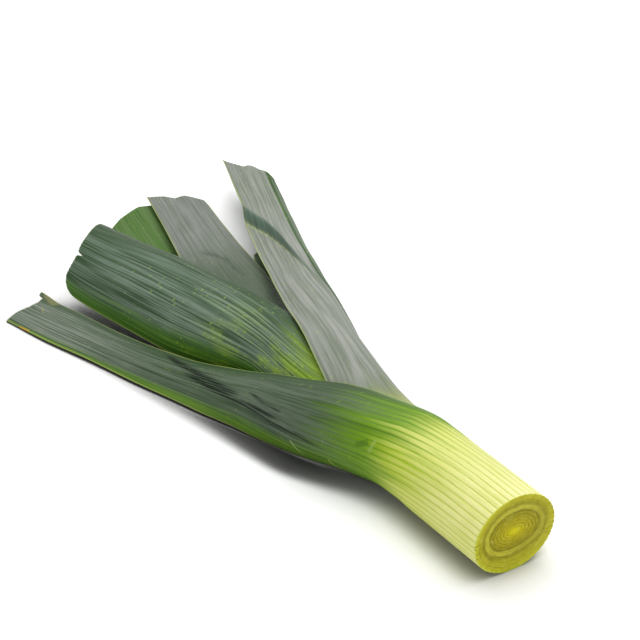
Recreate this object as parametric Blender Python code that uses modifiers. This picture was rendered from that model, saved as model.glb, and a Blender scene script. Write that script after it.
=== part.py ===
# Leek top, cut across the shaft, leaves fanned out on a table.
# Sizes below are millimetres and degrees; the mesh is written in metres.
# +X points out of the cut face, the leaves run towards -X, +Z is up.
# The origin lies on the flat underside of the shaft, level with the table.
import math

import bmesh
import bpy
import numpy as np

for old in list(bpy.data.objects):
    bpy.data.objects.remove(old, do_unlink=True)

MM = 0.001

# shaft
FACE_X = 35.0
SHAFT_HALF_WIDTH = 20.0
SHAFT_HALF_HEIGHT = 17.5
SHAFT_AXIS_HEIGHT = 17.3
RING_GAP = 0.3
RIB_COUNT = 42
RIB_HEIGHT = 0.3
RIB_END = 110.0
RIB_CLEARANCE = 2.0  # the ribs are pressed flat below this height
MARGIN_WALL = 0.75

# wall of each sheath at the cut face, from the outside in
RING_WALLS = {
    "leaf_front": 2.2,
    "leaf_tall": 2.1,
    "leaf_wide": 2.0,
    "leaf_grey": 1.8,
    "leaf_shaded": 1.6,
    "leaf_low": 1.4,
    "leaf_young": 1.3,
}

# length of each leaf that is still a closed sheath, direction its keel faces,
# and its wall where the sheath opens
SHEATHS = {
    "leaf_front": {"length": 48, "keel": 148, "wall": 2.2},
    "leaf_tall": {"length": 72, "keel": 55, "wall": 2.0},
    "leaf_wide": {"length": 92, "keel": 118, "wall": 1.7},
    "leaf_grey": {"length": 102, "keel": 84, "wall": 1.6},
    "leaf_shaded": {"length": 103, "keel": 60, "wall": 1.4},
    "leaf_low": {"length": 104, "keel": 120, "wall": 1.3},
    "leaf_young": {"length": 92, "keel": 90, "wall": 1.2},
}

# blade stations above the sheath:
# distance from the cut, keel Y, keel Z, keel direction, arch, width round the arch,
# flattening, fold at the keel, wall
BLADES = {
    "leaf_front": [
        (58, -17.3, 26.3, 150, 300, 105, .875, 0, 2.1),
        (68, -17.9, 26.6, 150, 214, 75.2, .88, 0, 2.0),
        (85, -23.4, 27.2, 150, 188, 65.5, .90, 0, 1.8),
        (95, -26.5, 27.0, 150, 178, 62, .92, 0, 1.7),
        (105, -29.4, 26.2, 149, 168, 57.5, .94, 0, 1.6),
        (115, -30.8, 24.6, 146, 159, 52, .97, 0, 1.5),
        (125, -31.3, 22.4, 142, 149, 46, 1, 0, 1.4),
        (145, -32.5, 18.4, 131, 124, 38, 1, 0, 1.3),
        (170, -37.5, 12.8, 120, 95, 30, 1, 0, 1.2),
        (200, -46.2, 8.8, 112, 75, 24.5, 1, 0, 1.2),
        (235, -55.3, 6.7, 105, 60, 23, 1, 0, 1.1),
        (265, -62.7, 5.7, 100, 50, 25.5, 1, 0, 1.1),
        (298, -71, 5.05, 100, 45, 24.5, 1, 0, 1.1),
    ],
    "leaf_tall": [
        (85, 10.0, 29.8, 55, 290, 88.8, .86, 0, 1.8),
        (100, 11.5, 29.8, 55, 220, 68, .87, 0, 1.6),
        (118, 15, 30.0, 56, 165, 54, .93, 0, 1.4),
        (135, 19, 29.9, 57, 138, 49, .98, 0, 1.3),
        (150, 22.6, 30, 57, 122, 46, 1, 0, 1.2),
        (165, 26.6, 29.8, 58, 108, 43, 1, .1, 1.2),
        (185, 32.2, 28.6, 62, 98, 40, 1, .25, 1.2),
        (210, 39.6, 25.5, 70, 88, 34, 1, .45, 1.1),
        (235, 49.3, 21.5, 69.5, 78, 32.7, 1, .7, 1.1),
        (262, 60.0, 17.6, 66.5, 68, 33.2, 1, .82, 1.1),
        (285, 68.9, 16.5, 66, 64, 33.2, 1, .85, 1.1),
        (300, 74.8, 16.5, 66.5, 63, 31.5, 1, .85, 1.1),
        (320, 82.5, 16.2, 70, 62, 31.3, 1, .85, 1.1),
        (340, 90.9, 15, 80, 61, 31.3, 1, .85, 1.1),
        (368, 102.6, 12.6, 85, 60, 31.5, 1, .85, 1.0),
    ],
    "leaf_wide": [
        (106, -7.2, 27.7, 118, 280, 73, .84, 0, 1.5),
        (122, -7.6, 26.2, 118, 200, 56, .88, 0, 1.4),
        (140, -7.6, 25.5, 118, 155, 48, .93, 0, 1.3),
        (165, -7.5, 26.8, 117, 135, 47, 1, 0, 1.2),
        (188, -9.8, 29.0, 111, 144, 58, 1, 0, 1.2),
        (220, -15.8, 30, 105, 145, 68, 1, 0, 1.2),
        (250, -22.2, 30, 105, 140, 66.4, 1, 0, 1.1),
        (280, -29.6, 29, 105, 130, 60, 1, 0, 1.1),
        (315, -36, 28, 105, 120, 50, 1, 0, 1.1),
    ],
    "leaf_grey": [
        (118, 1, 25.9, 86, 235, 51, .8, 0, 1.5),
        (135, 1.5, 24.2, 90, 155, 37.5, .86, 0, 1.3),
        (155, 3, 23.0, 90, 108, 36, .95, 0, 1.2),
        (180, 6.5, 20.8, 87, 80, 38, 1, 0, 1.2),
        (205, 10.5, 17.4, 86, 62, 40, 1, 0, 1.1),
        (240, 19, 14.8, 87, 46, 40, 1, 0, 1.1),
        (280, 29.3, 11.3, 88, 42, 35.5, 1, 0, 1.1),
        (330, 43, 8.5, 88, 40, 31.4, 1, 0, 1.0),
        (362, 51.5, 7.4, 88, 40, 29.8, 1, 0, 1.0),
    ],
    "leaf_shaded": [
        (112, 5.2, 23.4, 60, 280, 50.8, .765, 0, 1.1),
        (122, 6.7, 21.7, 56, 198, 34.5, .78, 0, 1.3),
        (138, 9.5, 18.6, 58, 143, 30.5, .85, 0, 1.2),
        (160, 18, 14.6, 68, 98, 29, .95, 0, 1.1),
        (190, 27, 10.6, 80, 60, 29, 1, 0, 1.1),
        (215, 36, 8.6, 85, 45, 27, 1, 0, 1.0),
        (240, 45, 7.6, 88, 35, 24, 1, 0, 1.0),
        (276, 60, 6.5, 90, 28, 20, 1, 0, 1.0),
    ],
    "leaf_low": [
        (110, -3.4, 21.7, 120, 325, 45.0, .71, 0, 1.15),
        (118, -3.1, 19.8, 120, 268, 34.2, .74, 0, 1.2),
        (130, -5.4, 16.8, 122, 190, 28, .82, 0, 1.2),
        (145, -6.2, 13.8, 116, 135, 28, .9, 0, 1.1),
        (165, -4.8, 10.4, 105, 85, 31, 1, 0, 1.1),
        (190, -2, 8.3, 97.5, 55, 36, 1, 0, 1.1),
        (220, 2, 6.3, 92.5, 38, 40, 1, 0, 1.1),
        (280, 13, 4.2, 89.5, 24, 42, 1, 0, 1.0),
        (356, 30, 2.85, 88.5, 18, 42, 1, 0, 1.0),
    ],
    "leaf_young": [
        (106, .2, 20.3, 92, 280, 29, .65, 0, 1.0),
        (117, -.8, 17.4, 95, 160, 14, .65, 0, .8),
    ],
}

# how far from the cut each leaf ends, across its width from the +Y margin (-0.5)
# to the -Y margin (0.5)
LEAF_ENDS = {
    "leaf_front": [(-.5, 295.5), (-.4, 293), (-.3, 290), (0, 288.4), (.2, 290), (.5, 290)],
    "leaf_tall": [(-.5, 318), (-.32, 329), (-.2, 334), (0, 338), (.2, 342), (.35, 352), (.5, 365)],
    "leaf_wide": [(-.5, 314), (-.35, 309.5), (0, 297), (.13, 292), (.36, 289.5), (.45, 287), (.5, 279)],
    "leaf_grey": [(-.5, 333), (-.44, 341), (-.3, 342.5), (-.1, 346), (.08, 346.5), (.35, 355), (.5, 360)],
    "leaf_shaded": [(-.5, 268), (0, 277), (.5, 273)],
    "leaf_low": [(-.5, 346), (-.25, 353), (0, 356), (.15, 354), (.34, 350), (.5, 344)],
    "leaf_young": [(-.5, 106), (-.25, 111), (0, 116), (.25, 111), (.5, 106)],
}

# columns across and rows along each blade
GRIDS = {
    "leaf_front": (84, 15),
    "leaf_tall": (30, 26),
    "leaf_wide": (22, 18),
    "leaf_grey": (18, 15),
    "leaf_shaded": (18, 13),
    "leaf_low": (18, 14),
    "leaf_young": (16, 4),
}

# the tall leaf is creased: its -Y wing steps up along a slanting line
CREASE_HEIGHT = 4.5
CREASE_LENGTH = 9.0
CREASE_LINE = [(-.15, 198), (0, 231), (.1, 253), (.22, 269), (.5, 291)]
CREASE_FADE = (-.15, .15)
KEEL_OFFSET = {"leaf_tall": -.21}
KEEL_SHARPNESS = 22.0

# heart
HEART_LENGTH = 104.0
HEART_TAPER = 16.0

COLORS = {
    "leaf_front": (0.10, 0.20, 0.07, 1),
    "leaf_tall": (0.25, 0.30, 0.22, 1),
    "leaf_wide": (0.10, 0.20, 0.08, 1),
    "leaf_grey": (0.22, 0.26, 0.20, 1),
    "leaf_shaded": (0.07, 0.12, 0.05, 1),
    "leaf_low": (0.14, 0.32, 0.05, 1),
    "leaf_young": (0.45, 0.52, 0.10, 1),
    "heart": (0.50, 0.52, 0.06, 1),
}


def ease(t):
    t = np.clip(t, 0, 1)
    return t * t * (3 - 2 * t)


def readStations(rows, at):
    """Values of every column at the distances asked for, without overshoot."""
    knots = np.array([row[0] for row in rows], float)
    values = np.array([row[1:] for row in rows], float)
    spans = np.diff(knots)
    slopes = np.diff(values, axis=0) / spans[:, None]
    tangents = np.zeros_like(values)
    tangents[0] = slopes[0]
    tangents[-1] = slopes[-1]
    for i in range(1, len(knots) - 1):
        before = slopes[i - 1]
        after = slopes[i]
        same = before * after > 0
        first = 2 * spans[i] + spans[i - 1]
        second = spans[i] + 2 * spans[i - 1]
        mean = (first + second) / (first / np.where(same, before, 1) + second / np.where(same, after, 1))
        tangents[i] = np.where(same, mean, 0)
    at = np.clip(at, knots[0], knots[-1])
    cell = np.clip(np.searchsorted(knots, at, side="right") - 1, 0, len(knots) - 2)
    span = spans[cell][:, None]
    u = (at - knots[cell])[:, None] / span
    rise = values[cell] * (2 * u**3 - 3 * u**2 + 1) + tangents[cell] * span * (u**3 - 2 * u**2 + u)
    return rise + values[cell + 1] * (3 * u**2 - 2 * u**3) + tangents[cell + 1] * span * (u**3 - u**2)


def ringSizes():
    """Outer half width and half height of every sheath at the cut."""
    halfWidth = SHAFT_HALF_WIDTH
    halfHeight = SHAFT_HALF_HEIGHT
    sizes = {}
    for name, wall in RING_WALLS.items():
        sizes[name] = (halfWidth, halfHeight)
        halfWidth -= wall + RING_GAP
        halfHeight -= wall + RING_GAP
    sizes["heart"] = (halfWidth, halfHeight)
    return sizes


RINGS = ringSizes()


def sheathStation(name, distance, wall):
    halfWidth, halfHeight = RINGS[name]
    keel = SHEATHS[name]["keel"]
    y = halfWidth * math.cos(math.radians(keel))
    z = SHAFT_AXIS_HEIGHT + halfHeight * math.sin(math.radians(keel))
    return (distance, y, z, keel, 360, 2 * math.pi * halfWidth, halfHeight / halfWidth, 0, wall)


def leafStations(name):
    sheath = SHEATHS[name]
    start = sheathStation(name, 0, RING_WALLS[name])
    opening = sheathStation(name, sheath["length"], sheath["wall"])
    return [start, opening] + BLADES[name]


def crossSections(name, stations, distance, columns):
    """Points across the leaf at each distance, one row per distance, and the wall there."""
    read = readStations(stations, distance)
    y, z, keel, arch, width, flat, fold, wall = [column[:, None] for column in read.T]
    across = np.linspace(-.5, .5, columns + 1)[None, :]
    bend = across * (1 - fold) + fold * 0.5 * np.tanh(KEEL_SHARPNESS * (across - KEEL_OFFSET.get(name, 0)))
    heading = np.radians(keel) + np.radians(arch) * bend
    slopeY = -np.sin(heading)
    slopeZ = np.cos(heading)
    pointsY = y + width * runningSum(slopeY, columns)
    pointsZ = z + width * flat * runningSum(slopeZ, columns)
    if name == "leaf_tall":
        line = np.interp(across, [p[0] for p in CREASE_LINE], [p[1] for p in CREASE_LINE])
        fade = ease((across - CREASE_FADE[0]) / (CREASE_FADE[1] - CREASE_FADE[0]))
        pointsZ = pointsZ + CREASE_HEIGHT * ease((distance[:, None] - line) / CREASE_LENGTH) * fade
    margin = np.clip((360 - arch) / 60, 0, 1) * np.abs(2 * across) ** 4
    walls = wall + (np.minimum(MARGIN_WALL, wall) - wall) * margin
    if name == "leaf_front":
        ribs = 0.5 - 0.5 * np.cos(2 * np.pi * RIB_COUNT * (across + .5))
        depth = RIB_HEIGHT * ribs * (1 - ease((distance[:, None] - RIB_END) / 60) * .8)
        depth = depth * ease(pointsZ / RIB_CLEARANCE)
        pointsY = pointsY - depth * np.cos(heading)
        pointsZ = pointsZ - depth * np.sin(heading)
        walls = walls - depth
    return pointsY, pointsZ, walls


def runningSum(slope, columns):
    step = (slope[:, 1:] + slope[:, :-1]) / 2 / columns
    total = np.concatenate([np.zeros((len(slope), 1)), np.cumsum(step, axis=1)], axis=1)
    return total - total[:, columns // 2:columns // 2 + 1]


def leafPoints(name):
    columns, rows = GRIDS[name]
    stations = leafStations(name)
    opening = SHEATHS[name]["length"]
    across = np.linspace(-.5, .5, columns + 1)
    ends = np.interp(across, [p[0] for p in LEAF_ENDS[name]], [p[1] for p in LEAF_ENDS[name]])
    along = (np.arange(rows + 1) / rows) ** 1.15
    count = rows + 2
    points = np.zeros((count, columns + 1, 3))
    walls = np.zeros((count, columns + 1))
    for j in range(columns + 1):
        distance = np.concatenate([[0.0], opening + (ends[j] - opening) * along])
        y, z, wall = crossSections(name, stations, distance, columns)
        points[:, j, 0] = FACE_X - distance
        points[:, j, 1] = y[:, j]
        points[:, j, 2] = z[:, j]
        walls[:, j] = wall[:, j]
    if name == "leaf_front":
        points[:, :, 2] = np.maximum(points[:, :, 2], 0)
    return points, walls


def makeMaterial(name):
    material = bpy.data.materials.new(name + "_green")
    material.use_nodes = True
    shader = material.node_tree.nodes["Principled BSDF"]
    shader.inputs["Base Color"].default_value = COLORS[name]
    shader.inputs["Roughness"].default_value = 0.5
    return material


def addObject(name, mesh):
    mesh.materials.append(makeMaterial(name))
    thing = bpy.data.objects.new(name, mesh)
    collection.objects.link(thing)
    return thing


def buildLeaf(name):
    points, walls = leafPoints(name)
    rows, columns = walls.shape
    faces = []
    for i in range(rows - 1):
        for j in range(columns - 1):
            a = i * columns + j
            b = a + 1
            c = a + columns
            d = c + 1
            faces.append((a, c, b))
            faces.append((b, c, d))
    mesh = bpy.data.meshes.new(name)
    mesh.from_pydata([tuple(p * MM) for p in points.reshape(-1, 3)], [], faces)
    leaf = addObject(name, mesh)
    thickest = float(walls.max())
    group = leaf.vertex_groups.new(name="wall")
    for index, wall in enumerate(walls.reshape(-1)):
        group.add([index], float(wall) / thickest, "REPLACE")
    surface = bmesh.new()
    surface.from_mesh(mesh)
    bmesh.ops.remove_doubles(surface, verts=surface.verts, dist=0.000002)
    surface.to_mesh(mesh)
    surface.free()
    shell = leaf.modifiers.new("wall", "SOLIDIFY")
    shell.thickness = thickest * MM
    shell.offset = -1
    shell.use_even_offset = False
    shell.vertex_group = "wall"
    return leaf


def buildHeart():
    halfWidth, halfHeight = RINGS["heart"]
    sides = 20
    body = bmesh.new()
    loops = []
    straight = HEART_LENGTH - HEART_TAPER
    for distance, size in ((0, 1), (straight, 1), (straight + 8, .8), (straight + 13, .5), (HEART_LENGTH, .16)):
        loop = []
        for k in range(sides):
            turn = 2 * math.pi * k / sides
            y = halfWidth * size * math.cos(turn)
            z = SHAFT_AXIS_HEIGHT + halfHeight * size * math.sin(turn)
            loop.append(body.verts.new(((FACE_X - distance) * MM, y * MM, z * MM)))
        loops.append(loop)
    for first, second in zip(loops, loops[1:]):
        for k in range(sides):
            n = (k + 1) % sides
            body.faces.new((first[k], first[n], second[n], second[k]))
    body.faces.new(loops[0])
    body.faces.new(loops[-1])
    bmesh.ops.recalc_face_normals(body, faces=body.faces)
    mesh = bpy.data.meshes.new("heart")
    body.to_mesh(mesh)
    body.free()
    return addObject("heart", mesh)


collection = bpy.data.collections.new("leek")
bpy.context.scene.collection.children.link(collection)
for leafName in RING_WALLS:
    buildLeaf(leafName)
buildHeart()
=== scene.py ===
import math

import bpy
import numpy as np
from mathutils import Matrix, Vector


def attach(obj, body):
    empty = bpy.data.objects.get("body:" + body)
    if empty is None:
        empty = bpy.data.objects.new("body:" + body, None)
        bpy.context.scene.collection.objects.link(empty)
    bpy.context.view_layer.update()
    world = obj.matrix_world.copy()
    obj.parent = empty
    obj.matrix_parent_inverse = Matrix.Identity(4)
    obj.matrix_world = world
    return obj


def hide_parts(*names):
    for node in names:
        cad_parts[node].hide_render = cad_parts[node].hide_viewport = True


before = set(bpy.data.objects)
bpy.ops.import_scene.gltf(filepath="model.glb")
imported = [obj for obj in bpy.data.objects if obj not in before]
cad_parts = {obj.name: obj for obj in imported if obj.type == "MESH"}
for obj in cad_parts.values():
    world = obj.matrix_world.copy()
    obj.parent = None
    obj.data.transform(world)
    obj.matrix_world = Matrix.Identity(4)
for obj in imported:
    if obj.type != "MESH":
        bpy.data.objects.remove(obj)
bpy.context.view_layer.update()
mm = 0.001
scene = bpy.context.scene
scene.view_settings.view_transform = "Standard"

# camera and light

view = {
    "target": (-173.0, 45.8, 0.0),
    "azimuth": 56.4,
    "elevation": 30.0,
    "distance": 1000.0,
    "lens": 116.8,
}
light = {
    "key": {"at": (-300, 260, 900), "size": 1300, "watts": 11.5},
    "fill": {"at": (500, -900, 500), "size": 900, "watts": 1.5},
    "sky": 0.55,
}


def aim(thing, target):
    thing.rotation_mode = "QUATERNION"
    thing.rotation_quaternion = (Vector(target) * mm - thing.location).to_track_quat("-Z", "Y")


turn = math.radians(view["azimuth"])
lift = math.radians(view["elevation"])
back = Vector((math.sin(turn) * math.cos(lift), -math.cos(turn) * math.cos(lift), math.sin(lift)))
bpy.ops.object.camera_add(location=(Vector(view["target"]) + back * view["distance"]) * mm)
camera = bpy.context.object
camera.data.lens = view["lens"]
camera.data.sensor_width = 36
camera.data.clip_start = 0.01
aim(camera, view["target"])
scene.camera = camera

for lampName in ("key", "fill"):
    lamp = light[lampName]
    bpy.ops.object.light_add(type="AREA", location=Vector(lamp["at"]) * mm)
    bpy.context.object.name = lampName + "Light"
    bpy.context.object.data.energy = lamp["watts"]
    bpy.context.object.data.size = lamp["size"] * mm
    aim(bpy.context.object, (-120, 20, 0))

world = bpy.data.worlds.new("sky")
world.use_nodes = True
world.node_tree.nodes["Background"].inputs["Color"].default_value = (1, 1, 1, 1)
world.node_tree.nodes["Background"].inputs["Strength"].default_value = light["sky"]
scene.world = world
print("camera and light")


# node helpers


def paint(red, green, blue):
    linear = [((c / 255 + 0.055) / 1.055) ** 2.4 if c > 10 else c / 255 / 12.92 for c in (red, green, blue)]
    return (*linear, 1)


def feed(tree, socket, value):
    if isinstance(value, bpy.types.NodeSocket):
        tree.links.new(value, socket)
    else:
        socket.default_value = value


def calc(tree, operation, *values):
    node = tree.nodes.new("ShaderNodeMath")
    node.operation = operation
    for socket, value in zip(node.inputs, values):
        feed(tree, socket, value)
    return node.outputs[0]


def times(tree, first, *others):
    for other in others:
        first = calc(tree, "MULTIPLY", first, other)
    return first


def plus(tree, first, second):
    return calc(tree, "ADD", first, second)


def minus(tree, first, second):
    return calc(tree, "SUBTRACT", first, second)


def scaleAdd(tree, value, scale, more):
    return calc(tree, "MULTIPLY_ADD", value, scale, more)


def rise(tree, value, low, high, kind="SMOOTHSTEP"):
    node = tree.nodes.new("ShaderNodeMapRange")
    node.interpolation_type = kind
    for socket, given in zip(node.inputs, (value, low, high, 0.0, 1.0)):
        feed(tree, socket, given)
    return node.outputs[0]


def tint(tree, share, first, second, mode="MIX"):
    node = tree.nodes.new("ShaderNodeMix")
    node.data_type = "RGBA"
    node.blend_type = mode
    for index, value in ((0, share), (6, first), (7, second)):
        feed(tree, node.inputs[index], value)
    return node.outputs[2]


def blend(tree, share, first, second):
    node = tree.nodes.new("ShaderNodeMix")
    for index, value in ((0, share), (2, first), (3, second)):
        feed(tree, node.inputs[index], value)
    return node.outputs[0]


def vector(tree, x, y, z=0.0):
    node = tree.nodes.new("ShaderNodeCombineXYZ")
    for socket, value in zip(node.inputs, (x, y, z)):
        feed(tree, socket, value)
    return node.outputs[0]


def split(tree, value):
    node = tree.nodes.new("ShaderNodeSeparateXYZ")
    tree.links.new(value, node.inputs[0])
    return node.outputs


def cloud(tree, where, scale=1.0, detail=3.0, rough=0.55):
    node = tree.nodes.new("ShaderNodeTexNoise")
    for name, value in (("Vector", where), ("Scale", scale), ("Detail", detail), ("Roughness", rough)):
        feed(tree, node.inputs[name], value)
    return node.outputs[0]


def attribute(tree, name):
    node = tree.nodes.new("ShaderNodeAttribute")
    node.attribute_name = name
    return node.outputs["Fac"]


def ramp(tree, value, stops):
    node = tree.nodes.new("ShaderNodeValToRGB")
    feed(tree, node.inputs[0], value)
    while len(node.color_ramp.elements) < len(stops):
        node.color_ramp.elements.new(0.5)
    for element, (place, color) in zip(node.color_ramp.elements, stops):
        element.position = place
        element.color = paint(*color)
    return node.outputs[0]


def newGroup(name, inputs, outputs):
    tree = bpy.data.node_groups.new(name, "ShaderNodeTree")
    for label, kind, start in inputs:
        socket = tree.interface.new_socket(label, in_out="INPUT", socket_type="NodeSocket" + kind)
        if start is not None:
            socket.default_value = start
    for label, kind in outputs:
        tree.interface.new_socket(label, in_out="OUTPUT", socket_type="NodeSocket" + kind)
    return tree, tree.nodes.new("NodeGroupInput").outputs, tree.nodes.new("NodeGroupOutput").inputs


def floats(**starts):
    return [(label, "Float", start) for label, start in starts.items()]


def useGroup(tree, group, **values):
    node = tree.nodes.new("ShaderNodeGroup")
    node.node_tree = group
    for name, value in values.items():
        feed(tree, node.inputs[name], value)
    return node.outputs


# strand pattern: fine lines, streaks, patches and specks, all drawn along the ribs
# each pair holds noise cells per rib across and per millimetre along

mapLength = 400.0
strandPattern = {
    "fine": (0.95, 0.018),
    "streak": (0.3, 0.011),
    "patch": (0.11, 0.05),
    "speck": (0.3, 0.36),
    "speckKept": 0.3,
    "speckRim": (0.3, 0.1),
    "speckHerd": (0.44, 0.54),
    "streakSeed": 7.0,
}
strands, given, result = newGroup(
    "strands",
    floats(strand=0.0, along=0.0, count=42.0, seed=0.0),
    [("fine", "Float"), ("streak", "Float"), ("patch", "Float"), ("speck", "Float")],
)
tree = strands
lane = times(tree, given["strand"], given["count"])


def patternPlace(name, seed):
    acrossRate, alongRate = strandPattern[name]
    return vector(tree, times(tree, lane, acrossRate), times(tree, given["along"], alongRate), seed)


feed(tree, result["fine"], cloud(tree, patternPlace("fine", given["seed"]), 1.0, 3.0, 0.6))
later = plus(tree, given["seed"], strandPattern["streakSeed"])
feed(tree, result["streak"], cloud(tree, patternPlace("streak", later), 1.0, 2.0, 0.5))
patch = cloud(tree, patternPlace("patch", given["seed"]), 1.0, 4.0, 0.6)
feed(tree, result["patch"], patch)
dots = tree.nodes.new("ShaderNodeTexVoronoi")
feed(tree, dots.inputs["Vector"], patternPlace("speck", given["seed"]))
dots.inputs["Scale"].default_value = 1.0
chosen = calc(tree, "GREATER_THAN", split(tree, dots.outputs["Color"])[0], strandPattern["speckKept"])
near = rise(tree, dots.outputs["Distance"], *strandPattern["speckRim"])
herd = rise(tree, patch, *strandPattern["speckHerd"])
feed(tree, result["speck"], times(tree, chosen, herd, near))

# a short line drawn on a leaf between two of its points

lineMark, given, result = newGroup(
    "lineMark",
    [("leafMap", "Vector", None)]
    + floats(leafWidth=50.0, fromU=0.0, fromAlong=0.0, toU=0.0, toAlong=0.0, thickness=0.6),
    [("mask", "Float")],
)
tree = lineMark
u, v, _ = split(tree, given["leafMap"])
across = times(tree, minus(tree, u, 0.5), given["leafWidth"])
along = times(tree, v, mapLength)
startX = times(tree, given["fromU"], given["leafWidth"])
spanX = times(tree, minus(tree, given["toU"], given["fromU"]), given["leafWidth"])
spanY = minus(tree, given["toAlong"], given["fromAlong"])
gapX = minus(tree, across, startX)
gapY = minus(tree, along, given["fromAlong"])
dot = scaleAdd(tree, gapX, spanX, times(tree, gapY, spanY))
size = scaleAdd(tree, spanX, spanX, times(tree, spanY, spanY))
part = calc(tree, "MINIMUM", calc(tree, "MAXIMUM", calc(tree, "DIVIDE", dot, size), 0.0), 1.0)
offX = minus(tree, gapX, times(tree, part, spanX))
offY = minus(tree, gapY, times(tree, part, spanY))
wander = cloud(tree, vector(tree, across, along), 0.9, 2.0)
reach = calc(tree, "SQRT", scaleAdd(tree, offX, offX, times(tree, offY, offY)))
reach = scaleAdd(tree, minus(tree, wander, 0.5), given["thickness"], reach)
feed(tree, result["mask"], rise(tree, reach, given["thickness"], times(tree, given["thickness"], 0.4)))

# leaf colour, from pale at the cut through fresh green to deep green with a waxy bloom whose pale grey also
# paints sheen
# u runs across the leaf from 0 to 1, along is millimetres from the cut

blade = {
    "streakShift": 44.0,
    "fineShift": 30.0,
    "grooveShift": 12.0,
    "greening": (16.0, 14.0),
    "yellowing": (66.0, 2.0),
    "deepening": (26.0, 22.0),
    "yellowLeast": 0.12,
    "yellowMore": 0.58,
    "limeShare": 0.35,
    "threadShare": 0.45,
    "grooveShare": 0.65,
    "flushColor": (146, 174, 22),
    "flushAlong": (18.0, 58.0),
    "litColor": (112, 150, 46),
    "litShare": 0.35,
    "darkLine": (0.4, 0.5, 0.34, 1),
    "speckColor": (150, 180, 50),
    "marginColor": (158, 172, 98),
    "marginShare": 0.6,
    "cutColor": (120, 132, 84),
    "cutShare": 0.45,
    "innerShare": 0.6,
    "dryness": (0.42, 0.18),
}
leafPaint, given, result = newGroup(
    "leafPaint",
    [("leafMap", "Vector", None)]
    + floats(strand=0.0, groove=0.0, edge=10.0, tip=10.0, inner=0.0, ribCount=42.0, seed=0.0)
    + [(label, "Color", None) for label in ("pale", "paleLine", "fresh", "deep", "bloom", "side")]
    + floats(paleEnd=80.0, freshEnd=130.0, slant=0.0, sideNear=1.5, sideFar=1.5, sideBack=-1.0)
    + floats(bloomShare=0.6, bloomFrom=-0.5, bloomNear=1.0, bloomFar=1.0, bloomTurn=220.0)
    + floats(even=0.2, lineShare=0.4, mottle=0.0, speckShare=0.15, speckEnd=400.0, flush=0.0),
    [("color", "Color"), ("roughness", "Float"), ("height", "Float")],
)
tree = leafPaint
u, v, _ = split(tree, given["leafMap"])
along = times(tree, v, mapLength)
yarn = useGroup(
    tree, strands, strand=given["strand"], along=along, count=given["ribCount"], seed=given["seed"]
)
jitter = times(tree, minus(tree, yarn["streak"], 0.5), blade["streakShift"])
fineJitter = times(tree, minus(tree, yarn["fine"], 0.5), blade["fineShift"])
groovePull = times(tree, given["groove"], blade["grooveShift"])
place = plus(tree, plus(tree, along, jitter), plus(tree, fineJitter, groovePull))
place = scaleAdd(tree, minus(tree, u, 0.5), given["slant"], place)


def turning(start, before, after):
    return rise(tree, place, minus(tree, start, before), plus(tree, start, after))


# pale shaft, with lime threads, grooves and a green flush
greening = turning(given["paleEnd"], *blade["greening"])
yellowing = turning(given["paleEnd"], *blade["yellowing"])
deepening = turning(given["freshEnd"], *blade["deepening"])
lineColor = tint(tree, yellowing, given["paleLine"], given["fresh"])
yellowShare = scaleAdd(tree, yellowing, blade["yellowMore"], blade["yellowLeast"])
base = tint(tree, yellowShare, given["pale"], given["paleLine"])
limeShare = times(tree, rise(tree, yarn["patch"], 0.46, 0.62), blade["limeShare"])
base = tint(tree, limeShare, base, tint(tree, 0.55, given["pale"], given["paleLine"]))
thread = times(tree, rise(tree, yarn["fine"], 0.5, 0.36), blade["threadShare"])
lineShare = calc(tree, "MAXIMUM", thread, times(tree, given["groove"], blade["grooveShare"]))
base = tint(tree, lineShare, base, lineColor)
beside = times(tree, rise(tree, u, 0.4, 0.46), rise(tree, u, 0.62, 0.53))
streaky = scaleAdd(tree, rise(tree, yarn["fine"], 0.58, 0.42), 0.65, 0.35)
flush = times(tree, beside, rise(tree, place, *blade["flushAlong"]), streaky)
base = tint(tree, times(tree, flush, given["flush"]), base, paint(*blade["flushColor"]))
lower = times(tree, rise(tree, u, 0.38, 0.62), times(tree, given["flush"], 0.3))
base = tint(tree, lower, base, given["paleLine"])
base = tint(tree, greening, base, given["fresh"])
base = tint(tree, deepening, base, given["deep"])

# band along one margin: the leaf's own bare green without bloom, darkened as painted shade where the blade
# turns away from the light
edgeNoise = scaleAdd(tree, yarn["fine"], 0.22, plus(tree, u, -0.11))
far = rise(tree, along, 90.0, 280.0, "LINEAR")
sideStart = scaleAdd(tree, minus(tree, given["sideFar"], given["sideNear"]), far, given["sideNear"])
side = rise(tree, edgeNoise, minus(tree, sideStart, 0.05), plus(tree, sideStart, 0.07))
backSide = rise(tree, u, given["sideBack"], minus(tree, given["sideBack"], 0.02))
side = calc(tree, "MAXIMUM", side, backSide)
base = tint(tree, times(tree, side, greening), base, given["side"])

# waxy bloom with painted sheen: the pale grey bloom colour also stands in for back light reflected off the
# wax, and its strength near and far along each leaf paints sheen and shade
waxy = scaleAdd(tree, yarn["fine"], 0.6, times(tree, yarn["streak"], 0.4))
waxy = rise(tree, waxy, 0.4, 0.6)
waxy = scaleAdd(tree, waxy, minus(tree, 1.0, given["even"]), times(tree, given["even"], 0.75))
bloomShare = times(tree, waxy, minus(tree, 1.0, side), deepening, given["bloomShare"])
bloomShare = times(tree, bloomShare, scaleAdd(tree, yarn["patch"], 0.8, 0.6))
bloomAcross = rise(tree, u, given["bloomFrom"], plus(tree, given["bloomFrom"], 0.3))
bloomShare = times(tree, bloomShare, scaleAdd(tree, bloomAcross, 0.75, 0.25))
outward = rise(tree, along, minus(tree, given["bloomTurn"], 30.0), plus(tree, given["bloomTurn"], 40.0))
outward = scaleAdd(tree, minus(tree, given["bloomFar"], given["bloomNear"]), outward, given["bloomNear"])
bloomShare = calc(tree, "MINIMUM", times(tree, bloomShare, outward), 1.0)
base = tint(tree, bloomShare, base, given["bloom"])

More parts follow.
